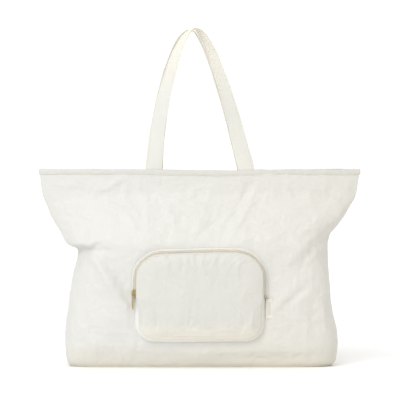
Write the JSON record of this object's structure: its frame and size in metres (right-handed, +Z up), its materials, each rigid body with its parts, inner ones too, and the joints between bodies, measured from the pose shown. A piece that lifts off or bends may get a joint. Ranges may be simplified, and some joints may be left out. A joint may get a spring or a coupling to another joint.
{
  "type": "foldable tote bag",
  "caption": "Packable nylon tote bag with a boxed base, wide mouth, two carrying straps and a zipped front pouch that it folds into.",
  "frame": {"origin": "middle of the underside of the base", "axes": "+Z up, -Y to the front where the zipped pouch is, +X to the right as seen from the front"},
  "size_m": [0.5486, 0.1388, 0.5733],
  "materials": {
    "nylon": "thin crinkled nylon, off white",
    "lining": "thin nylon, off white",
    "binding": "woven binding tape, off white",
    "webbing": "folded and sewn nylon strap, off white",
    "thread": "polyester sewing thread",
    "zip_tape": "woven zip tape, cream",
    "coil": "tan nylon coil",
    "slider_metal": "satin gold plated die casting",
    "spring_steel": "bright spring leaf",
    "label_tape": "plain woven label, blank"
  },
  "bodies": {
    "bag": {"front_panel": "nylon", "back_panel": "nylon", "base_panel": "nylon", "base_seam_binding": "binding", "mouth_binding_front": "binding", "mouth_binding_back": "binding", "side_seam_binding_left": "binding", "side_seam_binding_right": "binding", "front_strap_tails": "webbing", "back_strap_tails": "webbing", "front_strap_stitching": "thread", "back_strap_stitching": "thread", "pocket_front_panel": "nylon", "pocket_lining": "lining", "pocket_gusset": "nylon", "zipper_tape_outer": "zip_tape", "zipper_tape_inner": "zip_tape", "zipper_coil_outer": "coil", "zipper_coil_inner": "coil", "zipper_top_stops": "slider_metal", "zipper_bottom_stop": "slider_metal"},
    "front_strap": {"front_strap": "webbing"},
    "back_strap": {"back_strap": "webbing"},
    "slider": {"slider_body": "slider_metal", "slider_bridge": "slider_metal", "slider_lock_spring": "spring_steel"},
    "pull": {"pull_tab": "slider_metal"},
    "label": {"side_label": "label_tape"}
  },
  "joints": [
    {"name": "front_strap_swing", "type": "hinge", "parent": "bag", "child": "front_strap", "pos_m": [0, -0.0182, 0.336], "axis": [1, 0, 0], "range_deg": [0, 150]},
    {"name": "back_strap_swing", "type": "hinge", "parent": "bag", "child": "back_strap", "pos_m": [0, 0.0182, 0.336], "axis": [1, 0, 0], "range_deg": [-155, 0]},
    {"name": "slider_travel", "type": "slide", "parent": "bag", "child": "slider", "axis": [0, 0, 1], "range_m": [0, 0.016], "deforming": ["zipper_coil_outer", "zipper_coil_inner"]},
    {"name": "pull_swing", "type": "hinge", "parent": "slider", "child": "pull", "pos_m": [-0.11244, -0.07225, 0.12332], "axis": [-0.5736, 0.8192, 0], "range_deg": [0, 140]},
    {"name": "label_flap", "type": "hinge", "parent": "bag", "child": "label", "pos_m": [0.1104, -0.06275, 0.098], "axis": [0, 0, 1], "range_deg": [-100, 0]}
  ]
}
